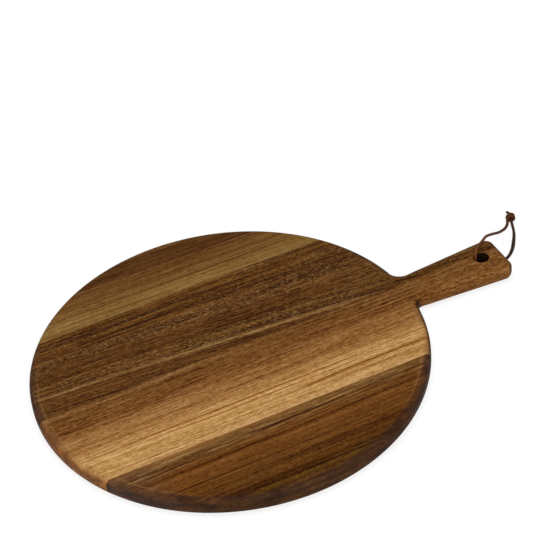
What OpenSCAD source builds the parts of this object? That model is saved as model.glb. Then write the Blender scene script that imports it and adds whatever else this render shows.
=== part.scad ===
// Round pizza serving board with a flared handle and a leather hanging lace.
// Staves glued edge to edge are cut to one outline and rounded all round.
// The origin is the middle of the disc's underside. +X runs along the grain and out
// along the handle, and +Z points up. All sizes are in millimetres.

/* [Board] */
// Diameter of the disc over its rim
disc_d = 320; // [260:5:400]
// Thickness of the wood
board_t = 16.5; // [15:0.5:24]
// Radius of the rounding along the upper edge
upper_round = 5; // [2:0.5:6]
// Radius of the rounding along the lower edge, where the fingers reach under
lower_round = 8; // [4:0.5:8]

/* [Staves] */
// Width of a whole stave
stave_w = 86; // [80:1:100]
// Distance of the middle glue line from the handle's centre line
glue_line_off = 6; // [-10:0.5:10]
// Thickness of a glue line
glue_t = 0.2; // [0.1:0.05:0.5]

/* [Handle] */
// Length of the handle past the disc's rim
handle_l = 90; // [75:1:120]
// Width of the handle at the disc's rim
handle_root_w = 31; // [27:1:38]
// Width of the handle at its end
handle_end_w = 44; // [38:1:52]
// Radius of the two corners at the handle's end
handle_corner_r = 8; // [8:0.5:14]
// Radius of the hollow between the rim and the handle
handle_fillet_r = 10; // [6:1:20]

/* [Hanging hole] */
// Diameter of the hole
hole_d = 13; // [10:0.5:16]
// Distance of the hole's axis from the handle's end
hole_inset = 19; // [16:0.5:24]
// Distance of the hole's axis from the handle's centre line
hole_off = 1; // [-3:0.5:3]
// Radius of the rounding around the hole's two rims
hole_round = 1; // [0.5:0.1:2]

/* [Lace] */
// Thickness of the lace
lace_d = 2.4; // [1.6:0.1:2.6]
// Clearance of the lace in its groove
lace_clear = 0.4; // [0.2:0.05:0.8]
// Distance of the groove's line from the hole's axis
groove_off = 1.4; // [0:0.1:2]
// Gap between the strands in the knot
knot_gap = 0.6; // [0.5:0.05:1]

/* [Hidden] */
$fn = 96;

// How far a cut runs past the face that it opens
overrun = 2;
// Corners and hollows are cut this much wider than their radius, and the roundings along the edges a
// little less, so that they meet the faces beside them at clear lines
round_bite = 0.2;
edge_bite = 0.03;

disc_r = disc_d / 2;
end_x = disc_r + handle_l;

// One long side of the handle: a point on it at the rim, its direction and its outward normal
flare = atan((handle_end_w - handle_root_w) / 2 / handle_l);
side_p = [disc_r, handle_root_w / 2];
side_dir = [cos(flare), sin(flare)];
side_out = [-sin(flare), cos(flare)];

// Axis of the rounded corner between that side and the end
corner_x = end_x - handle_corner_r;
corner_y = side_p.y + tan(flare) * (corner_x - side_p.x) - handle_corner_r / cos(flare);

// Axis of the hollow between the rim and that side, which it touches both
hollow_start = side_p + handle_fillet_r * side_out;
hollow_run = hollow_start * side_dir;
hollow_r = disc_r + handle_fillet_r;
hollow_p = hollow_start
    + (sqrt(hollow_run ^ 2 - hollow_start * hollow_start + hollow_r ^ 2) - hollow_run) * side_dir;
// Turn of the hollow's seam, away from the wood's edges
hollow_seam = atan(4 / 3);

// Plan of the neck that joins the disc to the handle: it reaches a handle's width into the disc
neck_p = hollow_p * (1 - handle_root_w / hollow_p.x);
neck_plan = [[neck_p.x, -neck_p.y], [hollow_p.x, -hollow_p.y], hollow_p, neck_p];

// Plan of the handle, which starts half way through the neck
handle_x = hollow_p.x - handle_root_w / 2;
handle_y = side_p.y + tan(flare) * (handle_x - side_p.x);
handle_plan = [[handle_x, -handle_y], [end_x, -handle_end_w / 2], [end_x, handle_end_w / 2],
    [handle_x, handle_y]];

hole_x = end_x - hole_inset;

// Glue lines from front to back, and the staves between them
glue_lines = [for (i = [-1 : 1]) glue_line_off + i * stave_w];
stave_ends = concat([-disc_r - overrun], glue_lines, [disc_r + overrun]);

// Height of the lace's centre where it lies on the table
lace_floor = 0.1;
lace_z = lace_floor + lace_d / 2;
groove_r = lace_d / 2 + lace_clear;

// The knot: one end of the lace is wound round the other, which runs straight through
knot_at = [286, 46.5];
knot_heading = 68;
knot_turns = 1.5;
knot_steps = 10;
wind_r = lace_d + knot_gap;
knot_z = lace_floor + lace_d / 2 + wind_r;
knot_c = [knot_at.x, knot_at.y, knot_z];
knot_along = [cos(knot_heading), sin(knot_heading), 0];
knot_left = [-sin(knot_heading), cos(knot_heading), 0];
upward = [0, 0, 1];

// The wound end as it comes out of the knot, on the far side of it
wound_tip = [[290.5, 51.5, 1.3], [289.5, 49, 1.4]];
// From the knot over the far corner of the handle to the hole
far_strand = [[281.5, 44, 2.3], [279.5, 42, 1.4], [276, 39.5, 1.3], [271.5, 37.5, 2], [266.5, 35, 4],
    [261, 32.5, 7], [254, 28, 11.5], [249, 24, 15], [245, 20, 17.3], [240.5, 16.5, 18],
    [236, 13.5, 18], [232, 10.5, 18], [230.3, 8.3, 18]];
// Down through the hole and along the groove to the handle's end
hole_strand = [[228.7, 6.3, 17.4], [227.8, 4.9, 15.8], [227.4, 4.4, 12.5], [227.4, 4.3, 9],
    [227.5, 4.4, 5.5], [228.3, 4.5, 3], [230.3, 4.2, 1.7], [233.3, 3.4, 1.3], [236, 2.7, 1.3],
    [238.5, 2.4, 1.3], [242, 2.4, 1.3], [246, 2.4, 1.3]];
// From under the handle's end back to the knot
near_strand = [[249.5, 2.5, 1.3], [253.5, 3.2, 1.3], [257.5, 4.7, 1.3], [261, 6.7, 1.3], [265, 10, 1.3],
    [269.5, 15, 1.3], [274.5, 22, 1.3], [279, 29, 1.3], [281.7, 34.5, 1.4], [283.2, 38.5, 2.1],
    [284.3, 42, 3.6]];
// The straight end where it leaves the knot
straight_tip = [[288, 52, 4.2], [288.4, 54.3, 3.6], [288.1, 56.5, 2.8]];

// A point of the winding, a number of turns from where the far strand enters it
function winding(turn) = knot_c + (turn - knot_turns / 2) * wind_r * knot_along
    + wind_r * (cos(360 * turn) * knot_left + sin(360 * turn) * upward);

// The straight end inside the winding, as shares of the winding's reach from its middle
core_shares = [-1, 0, 1];

wound_end = [for (i = [round(knot_turns * knot_steps) : -1 : 0]) winding(i / knot_steps)];
straight_end = [for (s = core_shares) knot_c + s * wind_r * knot_along];
lace_route = concat(wound_tip, wound_end, far_strand, hole_strand, near_strand, straight_end, straight_tip);
lace_sides = 8;

// A route with extra points between its own
function finer(route, count) = [for (i = [0 : len(route) - 2], k = [0 : count - 1])
    route[i] + (route[i + 1] - route[i]) * k / count];

// Least gap of a tube to itself, between points at least so many places apart on its route
function self_gap(points, d, apart) = min([for (i = [0 : len(points) - apart - 1])
    for (j = [i + apart : len(points) - 1]) norm(points[i] - points[j])]) - d;

gap_points = 5;
gap_apart = 3 * gap_points;
echo(lace_self_gap = self_gap(finer(lace_route, gap_points), lace_d, gap_apart));

function unit(v) = v / norm(v);

// Direction of a route at its point i
function heading(route, i) = unit(route[min(i + 1, len(route) - 1)] - route[max(i - 1, 0)]);

// What is left of v across the direction t
function across(v, t) = unit(v - (v * t) * t);

// A direction across the route at each point, carried along without twisting
function carried(route, i = 0, v = upward) =
    i == len(route) ? [] : let (n = across(v, heading(route, i))) concat([n], carried(route, i + 1, n));

// The two faces of one patch between neighbouring rings
function patch(i, k, sides) = let (a = i * sides + k, b = i * sides + (k + 1) % sides)
    [[a, b, a + sides], [b, b + sides, a + sides]];

// Round tube along a route, with one ring at each of its points
module tube(route, d, sides) {
    normals = carried(route);
    last = len(route) - 1;
    points = [for (i = [0 : last], k = [0 : sides - 1])
        let (n = normals[i], m = cross(heading(route, i), n), turn = 360 * k / sides)
        route[i] + d / 2 * (cos(turn) * n + sin(turn) * m)];
    walls = [for (i = [0 : last - 1], k = [0 : sides - 1], f = patch(i, k, sides)) f];
    first_cap = [for (k = [1 : sides - 2]) [0, k + 1, k]];
    last_cap = [for (k = [1 : sides - 2]) [last * sides, last * sides + k, last * sides + k + 1]];
    polyhedron(points, [for (f = concat(walls, first_cap, last_cap)) [f[2], f[1], f[0]]]);
}

// What a rounding of radius r takes off a square corner at the origin, in the quadrant x < 0, y < 0
module spandrel(r) {
    difference() {
        translate([-r, -r]) square(r + overrun);
        translate([-r, -r]) circle(r + edge_bite);
    }
}

// Section through what the two roundings take off an outer edge, whose wood lies on the side x < 0
module edge_rounds() {
    translate([0, board_t]) spandrel(upper_round);
    mirror([0, 1]) spandrel(lower_round);
}

// Those roundings along an edge that runs along +X, with the wood on the side y < 0
module edge_cut(length) {
    rotate([90, 0, 90]) linear_extrude(length) edge_rounds();
}

module disc() {
    rotate_extrude() difference() {
        square([disc_r, board_t]);
        translate([disc_r, 0]) edge_rounds();
    }
}

// Upright block between the disc and the handle, which the two hollows shape
module neck() {
    linear_extrude(board_t) polygon(neck_plan);
}

// Draws its children at the handle's side y > 0 and, mirrored, at the other one
module both_sides() {
    children();
    mirror([0, 1, 0]) children();
}

module side_cut() {
    translate([side_p.x, side_p.y, 0]) rotate([0, 0, flare])
        translate([-handle_l, 0, 0]) edge_cut(3 * handle_l);
}

module end_cut() {
    translate([end_x, handle_end_w, 0]) rotate([0, 0, -90]) edge_cut(2 * handle_end_w);
}

// What is taken off a corner at the handle's end, down to its rounded edge
module corner_cut() {
    translate([corner_x, corner_y, 0]) rotate_extrude(angle = 90 + flare)
        translate([handle_corner_r + round_bite, 0]) {
            translate([0, -overrun]) square([handle_corner_r, board_t + 2 * overrun]);
            edge_rounds();
        }
}

module handle() {
    difference() {
        linear_extrude(board_t) polygon(handle_plan);
        both_sides() side_cut();
        end_cut();
        both_sides() corner_cut();
    }
}

// A round cut through the whole thickness, with rounded rims
module rounded_cut(r, upper_rim, lower_rim) {
    translate([0, 0, -overrun]) cylinder(r = r, h = board_t + 2 * overrun);
    rotate_extrude() {
        translate([r, board_t]) mirror([1, 0]) spandrel(upper_rim);
        translate([r, 0]) mirror([1, 0]) mirror([0, 1]) spandrel(lower_rim);
    }
}

module hollow_cut() {
    translate([hollow_p.x, hollow_p.y, 0]) rotate([0, 0, hollow_seam])
        rounded_cut(handle_fillet_r + round_bite, upper_round, lower_round);
}

module hole_cut() {
    translate([hole_x, hole_off, 0]) rounded_cut(hole_d / 2, hole_round, hole_round);
}

// Round-bottomed groove under the handle, where the lace runs from the hole to the end
module groove_cut() {
    translate([hole_x, hole_off + groove_off, 0]) rotate([90, 0, 90]) linear_extrude(hole_inset + overrun) {
        translate([0, lace_z]) circle(groove_r);
        translate([-groove_r, -overrun]) square([2 * groove_r, overrun + lace_z]);
    }
}

// The whole outline in one thickness, before it is split into staves
module board() {
    difference() {
        union() {
            disc();
            neck();
            handle();
        }
        both_sides() hollow_cut();
        hole_cut();
        groove_cut();
    }
}

// The part of the board between two lines along the grain
module board_between(low, high) {
    intersection() {
        board();
        translate([-disc_r - overrun, low, -overrun])
            cube([disc_r + end_x + 2 * overrun, high - low, board_t + 2 * overrun]);
    }
}

// Stave i, counted from the front
module stave(i) {
    board_between(stave_ends[i] + glue_t / 2, stave_ends[i + 1] - glue_t / 2);
}

// Glue line i, counted from the front
module glue_line(i) {
    board_between(glue_lines[i] - glue_t / 2, glue_lines[i] + glue_t / 2);
}

module back_stave() { color("#8c6a3a") stave(3); }
module rear_middle_stave() { color("#5a3d22") stave(2); }
module front_middle_stave() { color("#a3713a") stave(1); }
module front_stave() { color("#6a4526") stave(0); }
module back_glue_line() { color("#4a2f18") glue_line(2); }
module middle_glue_line() { color("#4a2f18") glue_line(1); }
module front_glue_line() { color("#4a2f18") glue_line(0); }
module hanging_lace() { color("#5b3420") tube(lace_route, lace_d, lace_sides); }

back_stave();
rear_middle_stave();
front_middle_stave();
front_stave();
back_glue_line();
middle_glue_line();
front_glue_line();
hanging_lace();
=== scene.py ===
"""Looks of a round acacia serving board: four glued staves, a flared handle and a knotted leather lace."""
import math

import bpy
import numpy as np
from mathutils import Matrix, Vector


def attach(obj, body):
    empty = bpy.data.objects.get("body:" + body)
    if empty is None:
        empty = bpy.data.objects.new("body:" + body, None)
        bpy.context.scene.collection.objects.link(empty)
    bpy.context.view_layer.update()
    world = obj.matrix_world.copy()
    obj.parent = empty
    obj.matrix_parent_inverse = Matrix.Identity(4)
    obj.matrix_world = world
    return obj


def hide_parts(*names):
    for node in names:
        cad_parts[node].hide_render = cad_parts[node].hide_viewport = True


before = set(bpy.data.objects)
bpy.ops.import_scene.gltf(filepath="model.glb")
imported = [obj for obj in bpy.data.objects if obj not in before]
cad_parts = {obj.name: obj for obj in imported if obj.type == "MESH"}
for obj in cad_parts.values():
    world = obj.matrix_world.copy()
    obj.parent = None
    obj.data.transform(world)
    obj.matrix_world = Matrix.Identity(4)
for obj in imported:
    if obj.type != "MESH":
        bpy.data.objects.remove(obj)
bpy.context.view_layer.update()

MM = 0.001
MM_PER_CM = 10.0
scene = bpy.context.scene
scene.view_settings.view_transform = "Standard"


# ---------------------------------------------------------------- camera

SENSOR_W = 36
FOCAL_PX, PICTURE_PX = 2000, 540


def aimed_camera(aim, distance, azimuth, elevation, roll, lens):
    """Camera at the given distance from a point on the table, on the line that leaves it at an azimuth and an
    elevation, with its picture turned about that line by the roll. Angles in degrees, lengths in millimetres."""
    a, e, r = math.radians(azimuth), math.radians(elevation), math.radians(roll)
    back = Vector((math.sin(a) * math.cos(e), -math.cos(a) * math.cos(e), math.sin(e)))
    right = (-back).cross(Vector((0, 0, 1))).normalized()
    up = right.cross(-back)
    right, up = right * math.cos(r) + up * math.sin(r), up * math.cos(r) - right * math.sin(r)
    data = bpy.data.cameras.new("camera")
    data.sensor_width, data.lens = SENSOR_W, lens
    data.clip_start, data.clip_end = 0.05, 50
    camera = bpy.data.objects.new("camera", data)
    scene.collection.objects.link(camera)
    camera.matrix_world = Matrix.Translation((Vector(aim) + back * distance) * MM) @ Matrix(
        (right, up, back)).transposed().to_4x4()
    scene.camera = camera


aimed_camera(aim=(81.011, 96.836, 0), distance=1690.298, azimuth=-21.417, elevation=39.428, roll=-6.49,
             lens=SENSOR_W * FOCAL_PX / PICTURE_PX)


# ---------------------------------------------------------------- hanging lace

LACE_D = 2.4
LACE_STEP, LACE_SIDES = 0.5, 16
LACE_SWELL, LACE_FLAT, NEAR_WIDER = 0.014, 0.025, 0.35
TIP_L, TIP_DRAWN_IN, TIP_RUN = 0.25, 0.14, 0.8
OFF_ROUTE = (0.32, 0.51, -0.80)
KNOT_AT, KNOT_Z, KNOT_HEADING = (286, 46.5), 4.3, 68
KNOT_TURNS, TURN_POINTS, WIND_R = 1.5, 10, 3.0
CUBIC_STEPS = 32

WOUND_TIP = [[290.5, 51.5, 1.3], [289.5, 49, 1.4]]
FAR_STRAND = [[281.5, 44, 2.3], [279.5, 42, 1.4], [276, 39.5, 1.3], [271.5, 37.5, 2], [266.5, 35, 4],
              [261, 32.5, 7], [254, 28, 11.5], [249, 24, 15], [245, 20, 17.3], [240.5, 16.5, 18], [236, 13.5, 18],
              [232, 10.5, 18], [230.3, 8.3, 18]]
HOLE_STRAND = [[228.7, 6.3, 17.4], [227.8, 4.9, 15.8], [227.4, 4.4, 12.5], [227.4, 4.3, 9], [227.5, 4.4, 5.5],
               [228.3, 4.5, 3], [230.3, 4.2, 1.7], [233.3, 3.4, 1.3], [236, 2.7, 1.3], [238.5, 2.4, 1.3],
               [242, 2.4, 1.3], [246, 2.4, 1.3]]
NEAR_STRAND = [[249.5, 2.5, 1.3], [253.5, 3.2, 1.3], [257.5, 4.7, 1.3], [261, 6.7, 1.3], [265, 10, 1.3],
               [269.5, 15, 1.3], [274.5, 22, 1.3], [279, 29, 1.3], [281.7, 34.5, 1.4], [283.2, 38.5, 2.1],
               [284.3, 42, 3.6]]
STRAIGHT_TIP = [[288, 52, 4.2], [288.4, 54.3, 3.6], [288.1, 56.5, 2.8]]


def lace_points():
    """The lace's route from its wound tip, once and a half round the straight end in a coil, out to the hole,
    down through it, back under the handle and through the coil: the points of the CAD route, in millimetres."""
    h = math.radians(KNOT_HEADING)
    along, left = np.array((math.cos(h), math.sin(h), 0)), np.array((-math.sin(h), math.cos(h), 0))
    centre = np.array((*KNOT_AT, KNOT_Z))
    turn = np.linspace(KNOT_TURNS, 0, int(KNOT_TURNS * TURN_POINTS) + 1)[:, None]
    coil = centre + (turn - KNOT_TURNS / 2) * WIND_R * along + WIND_R * (
        np.cos(2 * np.pi * turn) * left + np.sin(2 * np.pi * turn) * np.array((0, 0, 1)))
    straight = centre + np.array((-1, 0, 1))[:, None] * WIND_R * along
    return np.vstack((WOUND_TIP, coil, FAR_STRAND, HOLE_STRAND, NEAR_STRAND, straight, STRAIGHT_TIP))


def smooth_line(points, step):
    """A smooth line through the points, walked at equal steps: between two points a cubic whose slope at each is
    the mean of the two chords there, each weighted by the other's length."""
    p = np.asarray(points, float)
    chord = np.diff(p, axis=0)
    h = np.linalg.norm(chord, axis=1)[:, None]
    d = chord / h
    slope = np.vstack((d[:1], (d[:-1] * h[1:] + d[1:] * h[:-1]) / (h[:-1] + h[1:]), d[-1:]))
    t = np.linspace(0, 1, CUBIC_STEPS, endpoint=False)[None, :, None]
    a, b, m, n, h = p[:-1, None], p[1:, None], slope[:-1, None], slope[1:, None], h[:, None]
    line = ((2 * t**3 - 3 * t**2 + 1) * a + (t**3 - 2 * t**2 + t) * h * m
            + (3 * t**2 - 2 * t**3) * b + (t**3 - t**2) * h * n).reshape(-1, 3)
    line = np.vstack((line, p[-1:]))
    s = np.concatenate(([0], np.cumsum(np.linalg.norm(np.diff(line, axis=0), axis=1))))
    at = np.linspace(0, s[-1], int(round(s[-1] / step)) + 1)
    return np.stack([np.interp(at, s, line[:, k]) for k in range(3)], axis=1), at


def swept_tube(name, line, at, radius, sides, spread):
    """A closed tube round a line: at each point of the line a ring square to it, begun from a direction that the
    line never takes and turned so that no ring twists against the one before (the running sum of the small turns
    between neighbours is taken off), and at each end a point that closes it. radius is an array, one row a ring and
    one column a side, and spread stretches each ring level with the table. UV is the turn and the length along the
    lace in centimetres."""
    tangent = np.gradient(line, axis=0)
    tangent /= np.linalg.norm(tangent, axis=1)[:, None]
    u = np.cross(np.array(OFF_ROUTE), tangent)
    u /= np.linalg.norm(u, axis=1)[:, None]
    v = np.cross(tangent, u)
    turn = np.arctan2((u[:-1] * v[1:]).sum(1), (u[:-1] * u[1:]).sum(1))
    twist = np.concatenate(([0], np.cumsum(turn)))[:, None]
    angle = 2 * np.pi * np.arange(sides)[None] / sides + twist
    level = np.stack((spread, spread, np.ones(len(line))), axis=1)[:, None]
    rings = line[:, None] + level * radius[..., None] * (np.cos(angle)[..., None] * u[:, None]
                                                         + np.sin(angle)[..., None] * v[:, None])
    count = len(line)
    tips = np.stack((line[0] - tangent[0] * TIP_L, line[-1] + tangent[-1] * TIP_L))
    points = np.vstack((rings.reshape(-1, 3), tips)) * MM
    i, j = np.meshgrid(np.arange(count - 1), np.arange(sides), indexing="ij")
    k = (j + 1) % sides
    quads = np.stack((i * sides + j, i * sides + k, (i + 1) * sides + k, (i + 1) * sides + j), -1).reshape(-1, 4)
    round_uv = np.stack((j, j + 1, j + 1, j), -1) / sides
    quad_uv = np.stack((round_uv, at[np.stack((i, i, i + 1, i + 1), -1)] / MM_PER_CM), -1)
    side = np.arange(sides)
    other = (side + 1) % sides
    last = (count - 1) * sides
    first_cap = np.stack((np.full(sides, count * sides), other, side), -1)
    last_cap = np.stack((np.full(sides, count * sides + 1), last + side, last + other), -1)
    mesh = bpy.data.meshes.new(name)
    mesh.from_pydata(points.tolist(), [], quads.tolist() + first_cap.tolist() + last_cap.tolist())
    cap_uv = np.stack((np.tile(np.array((0.5, 1, 0)), (sides, 1)), np.full((sides, 3), 0.0)), -1)
    end_uv = cap_uv + np.array((0, at[-1] / MM_PER_CM))
    uv = mesh.uv_layers.new(name="along_lace")
    uv.data.foreach_set("uv", np.concatenate((quad_uv.ravel(), cap_uv.ravel(), end_uv.ravel())).astype(np.float32))
    mesh.polygons.foreach_set("use_smooth", np.ones(len(mesh.polygons), bool))
    mesh.update()
    piece = bpy.data.objects.new(name, mesh)
    scene.collection.objects.link(piece)
    return piece


def lace_radius(at, sides):
    """Half the lace's thickness: a round section that swells and thins by a few hundredths along its length (the sum
    of three sines with seeded phases), is a little flat on two sides that turn slowly along it (a cosine of twice the
    angle), and is drawn in over the last 0.8 mm where the ends are cut."""
    phase = np.random.default_rng(7).uniform(0, 2 * np.pi, 4)
    along = (np.sin(at / 4.1 + phase[0]) + np.sin(at / 9.7 + phase[1]) + 0.6 * np.sin(at / 1.9 + phase[2]))[:, None]
    turn = 2 * np.pi * np.arange(sides)[None] / sides
    flat = np.cos(2 * turn + 0.05 * at[:, None] + phase[3])
    to_end = np.minimum(at, at[-1] - at)[:, None]
    drawn_in = 1 - TIP_DRAWN_IN + TIP_DRAWN_IN * np.clip(to_end / TIP_RUN, 0, 1)
    return LACE_D / 2 * (1 + LACE_SWELL * along + LACE_FLAT * flat) * drawn_in


def lace_spread(line, at):
    """How far the lace lies flat on the table: round, but for the strand that comes out from under the handle,
    which is about a third wider at its middle (half a sine over its length)."""
    start, end = (at[np.argmin(np.linalg.norm(line - NEAR_STRAND[k], axis=1))] for k in (1, -3))
    return 1 + NEAR_WIDER * np.sin(np.pi * np.clip((at - start) / (end - start), 0, 1))


lace_line, lace_at = smooth_line(lace_points(), LACE_STEP)
lace = swept_tube("leather_lace", lace_line, lace_at, lace_radius(lace_at, LACE_SIDES), LACE_SIDES,
                  lace_spread(lace_line, lace_at))
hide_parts("hanging_lace")
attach(lace, "root")


# ---------------------------------------------------------------- node helpers

def linear(colour):
    """A colour written as six hex digits, as the linear values that Blender's sockets take."""
    c = np.array([int(colour[k:k + 2], 16) for k in (1, 3, 5)]) / 255
    c = np.where(c <= 0.04045, c / 12.92, ((c + 0.055) / 1.055) ** 2.4)
    return (*c.tolist(), 1.0)


class Graph:
    """Adds nodes to a tree. A value is a socket, which is joined, or a number or colour, which is set."""

    def __init__(self, tree):
        self.tree = tree

    def put(self, socket, value):
        """Joins or sets one input."""
        if isinstance(value, bpy.types.NodeSocket):
            self.tree.links.new(value, socket)
        elif isinstance(value, str):
            socket.default_value = linear(value)
        else:
            socket.default_value = value

    def fill(self, node, inputs):
        """Joins or sets several inputs of a node, and returns it."""
        for key, value in dict(inputs).items():
            self.put(node.inputs[key], value)
        return node

    def add(self, kind, inputs=(), **settings):
        """A new node with its settings and inputs."""
        node = self.tree.nodes.new(kind)
        for key, value in settings.items():
            setattr(node, key, value)
        return self.fill(node, inputs)

    def math(self, operation, *values, clamp=False):
        """One step of arithmetic."""
        node = self.add("ShaderNodeMath", operation=operation, use_clamp=clamp)
        for socket, value in zip(node.inputs, values):
            self.put(socket, value)
        return node.outputs[0]

    def product(self, first, *others):
        """Values multiplied together."""
        for value in others:
            first = self.math("MULTIPLY", first, value)
        return first

    def distance(self, x, y, centre):
        """How far a place lies from an upright axis."""
        squares = [self.math("POWER", self.math("SUBTRACT", v, c), 2.0) for v, c in zip((x, y), centre)]
        return self.math("SQRT", self.math("ADD", *squares))

    def vector(self, x, y, z):
        """Three values as one vector."""
        return self.add("ShaderNodeCombineXYZ", {"X": x, "Y": y, "Z": z}).outputs[0]

    def parts(self, vector):
        """The X, Y and Z of a vector."""
        return tuple(self.add("ShaderNodeSeparateXYZ", {0: vector}).outputs)

    def noise(self, vector, detail=2.0, roughness=0.5, scale=1.0):
        """Cloudy noise between 0 and 1."""
        return self.add("ShaderNodeTexNoise", {"Vector": vector, "Scale": scale, "Detail": detail,
                                               "Roughness": roughness}).outputs["Fac"]

    def step(self, value, low, high, to_low=0.0, to_high=1.0):
        """A smooth step of a value from low to high."""
        return self.add("ShaderNodeMapRange", {"Value": value, "From Min": low, "From Max": high,
                                               "To Min": to_low, "To Max": to_high},
                        interpolation_type="SMOOTHSTEP").outputs["Result"]

    def mix(self, share, a, b, blend="MIX"):
        """Colour b over colour a, by a share."""
        node = self.add("ShaderNodeMix", data_type="RGBA", blend_type=blend)
        for name, value in (("Factor_Float", share), ("A_Color", a), ("B_Color", b)):
            self.put(next(s for s in node.inputs if s.identifier == name), value)
        return next(s for s in node.outputs if s.identifier == "Result_Color")

    def times(self, a, b):
        """Colour a multiplied by colour b."""
        return self.mix(1.0, a, b, "MULTIPLY")

    def tint(self, share, colour, by):
        """A colour multiplied by another, to a share."""
        return self.mix(share, colour, self.times(colour, by))

    def ramp(self, value, stops, interpolation="EASE"):
        """A run of colours: stops are (place from 0 to 1, colour)."""
        node = self.add("ShaderNodeValToRGB", {"Fac": value})
        run = node.color_ramp
        run.interpolation = interpolation
        while len(run.elements) < len(stops):
            run.elements.new(0.5)
        for element, (place, colour) in zip(run.elements, sorted(stops)):
            element.position, element.color = place, linear(colour)
        return node.outputs["Color"]


def new_group(name, inputs, outputs):
    """A shader node group with sockets named by kind; returns it with its graph and its inner input and output."""
    group = bpy.data.node_groups.new(name, "ShaderNodeTree")
    kinds = {"value": "NodeSocketFloat", "vector": "NodeSocketVector", "colour": "NodeSocketColor"}
    for way, sockets in (("INPUT", inputs), ("OUTPUT", outputs)):
        for kind, names in sockets.items():
            for socket in names:
                group.interface.new_socket(socket, in_out=way, socket_type=kinds[kind])
    graph = Graph(group)
    return group, graph, graph.add("NodeGroupInput").outputs, graph.add("NodeGroupOutput").inputs


def empty_tree(owner):
    """The graph of a material or world, cleared of its nodes."""
    owner.use_nodes = True
    owner.node_tree.nodes.clear()
    return Graph(owner.node_tree)


def new_material(name):
    """A node material; returns it with its graph, its Object coordinate in millimetres and its shader."""
    material = bpy.data.materials.new(name)
    graph = empty_tree(material)
    place = graph.add("ShaderNodeTexCoord").outputs["Object"]
    point = graph.add("ShaderNodeVectorMath", {0: place, "Scale": 1 / MM}, operation="SCALE").outputs[0]
    shader = graph.add("ShaderNodeBsdfPrincipled")
    graph.add("ShaderNodeOutputMaterial", {"Surface": shader.outputs[0]})
    return material, graph, point, shader


# ---------------------------------------------------------------- acacia

BOARD_H = 16.5
DISC_R = 160.0
RIM_BAND = 7.0
HOLE_AT, HOLE_R = (231.0, 1.0), 6.5
# Colour and share of the painted shade that turns the inside of the drilled hole nearly black.
HOLE_SHADE, HOLE_SHADE_SHARE = "#120a06", 0.95
DARK_WOOD = 0.07
LEAST_TONE = 0.25
MARKS = ("Lines", "Grain", "Fibre", "Dark Lines", "Streaks", "Pores", "Fine Pores", "Flecks", "Dashes", "Ripple",
         "Clouds", "Rim", "Rim Highlight", "End Grain", "Right End", "Hole")


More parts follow.
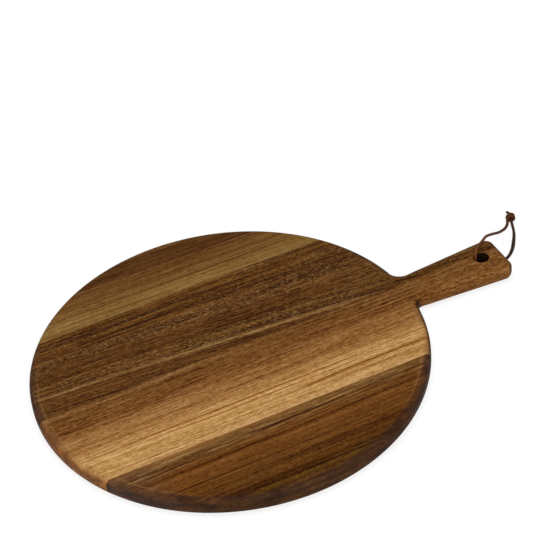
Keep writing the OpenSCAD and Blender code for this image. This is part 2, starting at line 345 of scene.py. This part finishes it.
def acacia_figure():
    """The figure of one acacia stave, from a point in millimetres. Across is the place across the grain: y, bent by
    a slope that may fan out over the width, by the lie of the rings down through the thickness, and by a slow
    waviness. Lines, grain, fibre, streaks, dashes, pores and flecks are noises drawn out along the grain, each at its
    own length and width; dark lines come in groups and flecks in ribbons. Ripple and clouds are rounder patches. Rim
    is the outer band of the disc, by the distance from its middle, but for the far side and the root of the handle,
    where painted shade is laid on the rounded edge; the rim highlight is its inner edge, left and right, where a
    painted highlight is laid. End grain and right end go by where the surface faces; right end marks what faces right,
    where painted shade is laid."""
    group, g, given, out = new_group(
        "acacia_figure",
        {"vector": ("Point", "Normal"), "value": ("Slope", "Fan", "Middle", "Ring Lie", "Waviness", "Seed")},
        {"value": ("Across", *MARKS)})
    x, y, z = g.parts(given["Point"])
    facing_x = g.parts(given["Normal"])[0]
    seed = given["Seed"]

    def drawn(along, over, salt, **noise):
        """Noise drawn out along the grain, with its length and its width in millimetres."""
        return g.noise(g.vector(g.math("MULTIPLY_ADD", x, 1 / along, seed),
                                g.math("MULTIPLY_ADD", across, 1 / over, salt),
                                g.math("MULTIPLY_ADD", z, 1 / over, seed)), **noise)

    def patches(side, along, over, down, **noise):
        """Noise in patches, with their length, width and depth in millimetres."""
        return g.noise(g.vector(g.math("MULTIPLY_ADD", x, 1 / along, seed), g.product(side, 1 / over),
                                g.product(z, 1 / down)), **noise)

    slope = g.math("MULTIPLY_ADD", g.math("SUBTRACT", y, given["Middle"]), given["Fan"], given["Slope"])
    lie = g.product(g.math("SUBTRACT", BOARD_H, z), given["Ring Lie"])
    straight = g.math("ADD", g.math("MULTIPLY_ADD", x, slope, y), lie)
    wave = g.math("SUBTRACT", patches(y, 150, 45, 30), 0.5)
    across = g.math("MULTIPLY_ADD", wave, given["Waviness"], straight)

    broad, thin = drawn(500, 4.5, 3.1), drawn(320, 2.4, 5.7, roughness=0.75)
    groups = g.step(drawn(300, 18, 41.3, detail=1.0), 0.42, 0.58)
    dark = g.step(drawn(380, 2.2, 23.3, detail=1.0), 0.59, 0.67)
    ribbons = g.step(drawn(220, 16, 31.9, detail=1.0), 0.38, 0.62, 0.15, 1.0)
    flecks = g.step(drawn(3.0, 0.9, 17.9, roughness=0.8), 0.5, 0.72)

    # The rim band and its inner edge, on the near side only, carry painted shade and a painted highlight.
    inner = DISC_R - RIM_BAND
    from_middle = g.distance(x, y, (0.0, 0.0))
    handle_root = g.product(g.step(x, 100, 130), g.step(g.math("ABSOLUTE", y), 28, 20))
    near_disc = g.product(g.math("SUBTRACT", 1.0, handle_root), g.step(y, 90, 20))
    # The thin line at the rim's inner edge, left and right, where a painted highlight is laid.
    line = g.product(g.step(from_middle, inner - 1.2, inner), g.step(from_middle, inner + 1.6, inner + 0.4))
    sides = g.product(near_disc, g.step(g.math("ABSOLUTE", x), 75, 125))
    in_hole = g.step(g.distance(x, y, HOLE_AT), HOLE_R - 0.1, HOLE_R + 0.9, 1.0, 0.0)

    for name, value in {
            "Across": across,
            "Lines": g.math("ADD", g.product(broad, 0.3), g.product(thin, 0.7)),
            "Grain": drawn(60, 1.4, 61.7, detail=3.0, roughness=0.8),
            "Fibre": drawn(4.0, 1.0, 71.9, roughness=0.7),
            "Dark Lines": g.product(dark, groups),
            "Streaks": drawn(280, 9.0, 7.7),
            "Pores": g.step(drawn(6.0, 1.1, 11.3, roughness=0.7), 0.53, 0.68),
            "Fine Pores": g.step(drawn(3.5, 0.22, 29.7, detail=1.0), 0.58, 0.66),
            "Flecks": g.product(flecks, ribbons),
            "Dashes": drawn(28, 1.5, 53.1, roughness=0.6),
            "Ripple": patches(across, 14, 20, 20, detail=3.0, roughness=0.6),
            "Clouds": patches(y, 22, 18, 7, detail=3.0, roughness=0.55),
            "Rim": g.product(g.step(from_middle, inner, inner + 4.0), near_disc),
            "Rim Highlight": g.product(line, sides, g.step(z, BOARD_H - 4.5, BOARD_H - 2.5)),
            "End Grain": g.step(g.math("ABSOLUTE", facing_x), 0.35, 0.9),
            "Right End": g.step(facing_x, 0.25, 0.75),
            "Hole": g.product(in_hole, g.step(z, BOARD_H - 1.2, BOARD_H, 1.0, 0.0))}.items():
        g.put(out[name], value)
    return group


def oiled_finish():
    """The oiled surface over an acacia figure. The stave's own colour, deepened, is darkened and lightened by the
    lines, grain, fibre and streaks and by the ripple's painted sheen, less so on pale wood; its dark marks are warmer
    and its pale marks greyer. It is pierced by dark pores and touched by pale flecks, and by dashes where the stave
    has them.
    The rim is given painted shade, darkened and greyed and mottled at random, with a faint painted highlight along its
    inner edge; the end grain is clouded, tinted and veiled, and what faces right gets painted shade on top. Down the
    drilled hole it is painted nearly black as shade. Height follows the lines and sinks the pores."""
    group, g, given, out = new_group(
        "oiled_finish",
        {"colour": ("Wood", "Line Tint", "End Tint", "End Veil", "Right Shade", "Rim Shade"),
         "value": (*MARKS, "Deep", "Line Depth", "Grain Depth", "Fibre Depth", "Streak Depth", "Fleck Share",
                   "Dash Share", "Pore Share", "Sheen Share")},
        {"colour": ("Color",), "value": ("Roughness", "Height")})
    marks = 0.0
    for mark, amount in (("Lines", "Line Depth"), ("Grain", "Grain Depth"), ("Fibre", "Fibre Depth"),
                         ("Streaks", "Streak Depth"), ("Ripple", "Sheen Share")):
        marks = g.math("MULTIPLY_ADD", g.math("SUBTRACT", given[mark], 0.5), given[amount], marks)
    brightness = g.add("ShaderNodeRGBToBW", {0: given["Wood"]}).outputs[0]
    calm = g.math("SQRT", g.math("DIVIDE", DARK_WOOD, brightness))
    tone = g.math("MAXIMUM", g.math("MULTIPLY_ADD", marks, calm, given["Deep"]), LEAST_TONE)
    against_mean = g.math("DIVIDE", tone, given["Deep"])
    green = g.product(g.math("POWER", tone, 1.12), g.math("POWER", against_mean, 0.28))
    blue = g.product(g.math("POWER", tone, 1.25), g.math("POWER", against_mean, 0.95))
    wood = g.times(g.mix(1.0, given["Wood"], "#0b0b0b", "SUBTRACT"), g.vector(tone, green, blue))

    long_grain = g.math("SUBTRACT", 1.0, given["End Grain"])
    wood = g.tint(given["Dark Lines"], wood, given["Line Tint"])
    wood = g.tint(g.product(given["Pores"], long_grain, given["Pore Share"]), wood, "#a58062")
    wood = g.tint(g.product(given["Fine Pores"], 0.5), wood, "#8a6a50")
    wood = g.tint(g.product(g.step(given["Dashes"], 0.5, 0.36), given["Dash Share"]), wood, "#7c6248")
    pale = g.math("MULTIPLY_ADD", g.step(given["Dashes"], 0.52, 0.68), given["Dash Share"],
                  g.product(given["Flecks"], given["Fleck Share"]))
    wood = g.mix(g.product(pale, long_grain, 0.5), wood, "#ac8857")

    # Painted shade on the rounded rim band: drawn toward a darker, greyer colour by a share that varies with the
    # clouds, then darkened further by a random mottle.
    rim_shade_share = g.product(given["Rim"], g.step(given["Clouds"], 0.35, 0.65, 0.65, 0.3))
    wood = g.mix(rim_shade_share, wood, given["Rim Shade"])
    rim_shade_mottle = g.ramp(given["Clouds"], [(0.36, "#b4aeae"), (0.5, "#e4deda"), (0.62, "#ffffff")])
    wood = g.tint(g.product(given["Rim"], calm), wood, rim_shade_mottle)
    # A faint painted highlight along the rim's inner edge, left and right.
    wood = g.mix(g.product(given["Rim Highlight"], 0.09), wood, "#c09a66")

    clouds = g.ramp(given["Clouds"], [(0.3, "#b4aaa8"), (0.5, "#dcd2cc"), (0.7, "#fff2e2")])
    end = g.times(g.times(wood, clouds), given["End Tint"])
    wood = g.mix(given["End Grain"], wood, g.mix(1.0, end, given["End Veil"], "ADD"))
    # Painted shade on whatever faces right, away from the light.
    wood = g.tint(given["Right End"], wood, given["Right Shade"])
    # Down the hole, painted shade nearly black.
    g.put(out["Color"], g.mix(g.product(given["Hole"], HOLE_SHADE_SHARE), wood, HOLE_SHADE))

    rough = g.math("MULTIPLY_ADD", given["Lines"], 0.14, 0.42)
    g.put(out["Roughness"], g.math("MULTIPLY_ADD", given["Pores"], 0.14, rough, clamp=True))
    sunk = g.math("MULTIPLY_ADD", given["Pores"], -0.4, given["Lines"])
    g.put(out["Height"], g.math("MULTIPLY_ADD", given["Fine Pores"], -0.8, sunk))
    return group


FIGURE, FINISH = acacia_figure(), oiled_finish()


def acacia(name, bands, ring_lie, seed, grain_depth, fibre_depth, slope=0.0, fan=0.0, middle=0.0, waviness=4.0,
           deep=1.0, line_depth=2.8, line_tint="#9a7458", streak_depth=0.6, fleck_share=0.35, pore_share=0.45,
           sheen_share=0.3, end_tint="#c4b4ac", end_veil="#1b1614", right_shade="#d0cac0", rim_shade="#5e4636",
           end_colour=None, dashes=None):
    """Oiled acacia of one stave. bands are (place across the board in millimetres, colour), and dashes gives the
    two edges of a dashed strip, if the stave has one. end_colour is the more even colour that the stave takes on
    towards one end, where its lines and flecks fade out, as (where along the board it begins, where it is full, its
    share, the colour)."""
    material, g, point, shader = new_material(name)
    figure = g.add("ShaderNodeGroup", {
        "Point": point, "Normal": g.add("ShaderNodeNewGeometry").outputs["Normal"], "Slope": slope, "Fan": fan,
        "Middle": middle, "Ring Lie": ring_lie, "Waviness": waviness, "Seed": seed}, node_tree=FIGURE).outputs
    across = figure["Across"]
    low, high = min(bands)[0], max(bands)[0]
    place = g.add("ShaderNodeMapRange", {"Value": across, "From Min": low, "From Max": high}).outputs["Result"]
    wood = g.ramp(place, [((y - low) / (high - low), colour) for y, colour in bands], "LINEAR")
    figured = 1.0
    if end_colour:
        begin, full, share, colour = end_colour
        at_end = g.step(g.parts(point)[0], begin, full, 0.0, share)
        wood = g.mix(at_end, wood, colour)
        figured = g.math("SUBTRACT", 1.0, at_end)
    dash_share = 0.0
    if dashes:
        dash_share = g.product(g.step(across, dashes[0] - 3, dashes[0] + 2),
                               g.step(across, dashes[1] - 1, dashes[1] + 2, 1.0, 0.0), 0.6)
    marks = {mark: figure[mark] for mark in MARKS}
    marks["Dark Lines"] = g.product(figured, figure["Dark Lines"])
    finish = g.add("ShaderNodeGroup", {
        **marks, "Wood": wood, "Deep": deep, "Line Depth": g.product(figured, line_depth), "Grain Depth": grain_depth,
        "Fibre Depth": fibre_depth, "Line Tint": line_tint, "Streak Depth": streak_depth,
        "Fleck Share": g.product(figured, fleck_share), "Dash Share": dash_share, "Pore Share": pore_share,
        "Sheen Share": sheen_share, "End Tint": end_tint, "End Veil": end_veil, "Right Shade": right_shade,
        "Rim Shade": rim_shade}, node_tree=FINISH).outputs
    bump = g.add("ShaderNodeBump", {"Strength": 0.35, "Distance": 0.00012, "Height": finish["Height"]})
    g.fill(shader, {"Base Color": finish["Color"], "Roughness": finish["Roughness"], "Normal": bump.outputs[0],
                    "Specular IOR Level": 0.02})
    return material


STAVE_LOOKS = {
    "back_stave": acacia(
        "acacia_back",
        [(92, "#7a5a30"), (97, "#866739"), (104, "#806033"), (112, "#74512a"), (120, "#6b4822"), (128, "#6a4824"),
         (131.5, "#5a3718"), (133, "#6c4a26"), (135, "#55331a"), (141, "#573617"), (147, "#4f3015"),
         (152, "#5c3b1c"), (162, "#553517")],
        slope=0.02, ring_lie=0.7, waviness=5.0, seed=2.3, line_depth=1.4, grain_depth=2.4, fibre_depth=1.4,
        line_tint="#c4a888", streak_depth=0.25, fleck_share=0.3),
    "rear_middle_stave": acacia(
        "acacia_rear_middle",
        [(2, "#5a3516"), (9, "#5b3717"), (13, "#4c2b12"), (15.5, "#65421e"), (17.5, "#8a6539"), (19.5, "#6a4725"),
         (22.5, "#4f2e12"), (25, "#563314"), (30, "#573414"), (40, "#5d3918"), (52, "#5f3b1a"), (62, "#5b3717"),
         (69, "#5c3817"), (71.5, "#522f13"), (73.5, "#5a3614"), (82, "#5d3917"), (92, "#5a3714"), (100, "#573417")],
        slope=0.058, fan=-0.00102, middle=46, ring_lie=-0.6, waviness=5.0, seed=6.9, deep=0.84, line_depth=1.9,
        grain_depth=3.6, fibre_depth=2.6, fleck_share=1.25, pore_share=0.15, sheen_share=0.4, end_tint="#dcc6ba",
        end_colour=(95, 180, 0.75, "#5a3a19")),
    "front_middle_stave": acacia(
        "acacia_front_middle",
        [(-84, "#a98250"), (-78, "#ae8553"), (-73, "#ac824d"), (-64, "#ab814b"), (-62, "#a47b45"), (-59, "#b38a54"),
         (-50, "#a87e4a"), (-40, "#946739"), (-36, "#855b31"), (-33, "#906537"), (-25, "#80562d"), (-15, "#6b4320"),
         (-12, "#6f4622"), (-4, "#65401d"), (0, "#684320"), (4, "#704b27"), (9, "#704d29")],
        ring_lie=0.45, seed=9.1, deep=1.05, grain_depth=3.2, fibre_depth=3.0, line_tint="#c8a070", streak_depth=0.4,
        pore_share=0.2, end_tint="#fff2e8", right_shade="#968e7c", rim_shade="#9a6e42",
        end_colour=(135, 195, 0.7, "#744d27")),
    "front_stave": acacia(
        "acacia_front",
        [(-166, "#4c3118"), (-162, "#482d15"), (-159, "#422813"), (-154, "#472b13"), (-150, "#482c11"),
         (-146, "#4b2f12"), (-144, "#4e2f12"), (-142, "#3a1e06"), (-140, "#533112"),
         (-130, "#553213"), (-116, "#5a3515"), (-104, "#683f1b"), (-99.5, "#55300f"), (-98, "#6a411d"),
         (-92, "#704822"), (-89, "#6a4722"), (-87.5, "#7a562e"), (-86, "#6a4824"), (-84, "#805b32"),
         (-82, "#7f582f"), (-80, "#7a5229"), (-76, "#7a5229")],
        slope=-0.01, ring_lie=-0.5, waviness=3.5, seed=13.7, line_depth=2.5, grain_depth=1.8, fibre_depth=1.8,
        end_tint="#ece0d4", end_veil="#2b2624", right_shade="#d0d0d0", rim_shade="#4a3528",
        end_colour=(-88, -118, 0.75, "#5c3d24"), dashes=(-95, -83)),
}


# ---------------------------------------------------------------- glue and leather

def glue_line():
    """The thin dark seam of cured glue between two staves, a little uneven along its length, and painted nearly black
    as shade where the hole is drilled through it."""
    material, g, point, shader = new_material("glue_seam")
    uneven = g.noise(g.add("ShaderNodeMapping", {"Vector": point, "Scale": (0.05, 0.4, 0.4)}).outputs[0], detail=3.0)
    off_hole = g.math("ABSOLUTE", g.math("SUBTRACT", g.parts(point)[0], HOLE_AT[0]))
    # Painted shade where the hole passes through the seam.
    hole_shade = g.step(off_hole, HOLE_R - 0.5, HOLE_R + 0.5, HOLE_SHADE_SHARE, 0.0)
    glue = g.ramp(uneven, [(0.35, "#3d2612"), (0.65, "#5d3f20")])
    g.fill(shader, {"Base Color": g.mix(hole_shade, glue, HOLE_SHADE),
                    "Roughness": g.math("MULTIPLY_ADD", uneven, 0.2, 0.45), "Specular IOR Level": 0.06})
    return material


def lace_leather():
    """Brown leather of the lace, with painted light and shade along its length: lightest where it runs over the top of
    the handle, painted dark as shade down the hole, under the handle and along the strand that comes out from under
    it;
    with a stain, fine grain and creases across it."""
    material, g, point, shader = new_material("lace_leather")
    uv = g.add("ShaderNodeUVMap", uv_map="along_lace").outputs[0]
    along = g.parts(uv)[1]
    stain = g.noise(g.vector(g.product(along, 1.3), 0.0, 4.0), detail=3.0)
    grain = g.noise(point, scale=2.6, detail=3.0, roughness=0.65)
    crease = g.noise(g.add("ShaderNodeMapping", {"Vector": uv, "Scale": (2.0, 14.0, 1.0)}).outputs[0])
    # Painted light and shade along the lace: light over the handle, dark as shade through the hole, under the handle
    # and along the near strand.
    skin = g.ramp(g.product(along, MM_PER_CM / float(lace_at[-1])),
                  [(0.0, "#57331a"), (0.16, "#5a331a"), (0.27, "#55341c"), (0.40, "#6e4020"), (0.50, "#7c4820"),
                   (0.56, "#4a2a0d"), (0.66, "#1e0f04"), (0.74, "#281305"), (0.84, "#351a08"), (1.0, "#4a2a14")])
    skin = g.times(skin, g.ramp(stain, [(0.3, "#b8a8a0"), (0.5, "#e6dcd4"), (0.7, "#ffffff")]))
    skin = g.mix(g.step(grain, 0.35, 0.7, 0.45, 0.0), skin, "#2e170b")
    skin = g.mix(g.step(crease, 0.6, 0.75, 0.0, 0.35), skin, "#33190c")
    height = g.math("MULTIPLY_ADD", crease, -0.8, grain)
    bump = g.add("ShaderNodeBump", {"Strength": 0.6, "Distance": 0.0002, "Height": height})
    g.fill(shader, {"Base Color": skin, "Roughness": g.step(grain, 0.3, 0.7, 0.62, 0.42), "Normal": bump.outputs[0],
                    "Specular IOR Level": 0.1})
    return material


def dress(piece, material):
    """Puts one material in every slot of a piece."""
    slots = piece.data.materials
    if not slots:
        slots.append(material)
    for k in range(len(slots)):
        slots[k] = material


for node, look in STAVE_LOOKS.items():
    dress(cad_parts[node], look)
seam = glue_line()
for node in ("back_glue_line", "middle_glue_line", "front_glue_line"):
    dress(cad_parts[node], seam)
dress(lace, lace_leather())


# ---------------------------------------------------------------- floor and light

FLOOR_HALF = 6.0
FLOOR_GREY = (0.3, 0.3, 0.3, 1)
FLOOR_GLOW, FLOOR_GLOW_SEEN = 0.3, 0.75
WHITE = (1, 1, 1, 1)


def seen_directly(g):
    """1 for a ray from the camera, or one mirrored or let through on its way, else 0."""
    ray = g.add("ShaderNodeLightPath").outputs
    return g.math("MAXIMUM", ray["Is Camera Ray"], g.math("MAXIMUM", ray["Is Glossy Ray"], ray["Is Transmission Ray"]))


def pale_floor():
    """A plain pale table top: a flat sheet far larger than the board, white to the camera, that still takes the
    board's soft shadow and throws a little light up at the rim."""
    r = FLOOR_HALF
    mesh = bpy.data.meshes.new("floor")
    mesh.from_pydata([(-r, -r, 0), (r, -r, 0), (r, r, 0), (-r, r, 0)], [], [(0, 1, 2, 3)])
    floor = bpy.data.objects.new("floor", mesh)
    scene.collection.objects.link(floor)
    material = bpy.data.materials.new("pale_floor")
    g = empty_tree(material)
    glow = g.math("MULTIPLY_ADD", seen_directly(g), FLOOR_GLOW_SEEN - FLOOR_GLOW, FLOOR_GLOW)
    paint = g.add("ShaderNodeBsdfDiffuse", {"Color": FLOOR_GREY}).outputs[0]
    white = g.add("ShaderNodeEmission", {"Color": WHITE, "Strength": glow}).outputs[0]
    both = g.add("ShaderNodeAddShader", {0: paint, 1: white}).outputs[0]
    g.add("ShaderNodeOutputMaterial", {"Surface": both})
    dress(floor, material)


def white_surround(fill):
    """A world that is white to the camera and lights the board softly from all round."""
    world = bpy.data.worlds.new("surround")
    scene.world = world
    g = empty_tree(world)
    light = g.math("MULTIPLY_ADD", seen_directly(g), 1.0 - fill, fill)
    sky = g.add("ShaderNodeBackground", {"Color": WHITE, "Strength": light}).outputs[0]
    g.add("ShaderNodeOutputWorld", {"Surface": sky})


def soft_lamp(name, place, aim, size, power):
    """A square soft box that faces a point."""
    data = bpy.data.lights.new(name, "AREA")
    data.shape, data.size, data.energy = "SQUARE", size, power
    lamp = bpy.data.objects.new(name, data)
    scene.collection.objects.link(lamp)
    lamp.location = place
    lamp.rotation_mode = "QUATERNION"
    lamp.rotation_quaternion = (Vector(aim) - Vector(place)).to_track_quat("-Z", "Y")


pale_floor()
white_surround(0.45)
soft_lamp("top_box", (-0.1, 0.0, 1.6), (0.05, 0, 0), 1.2, 12)
soft_lamp("front_box", (-0.15, -1.6, 0.85), (0.05, 0, 0), 1.0, 19)
soft_lamp("left_box", (-1.6, -0.3, 0.6), (0, 0, 0), 0.8, 2)
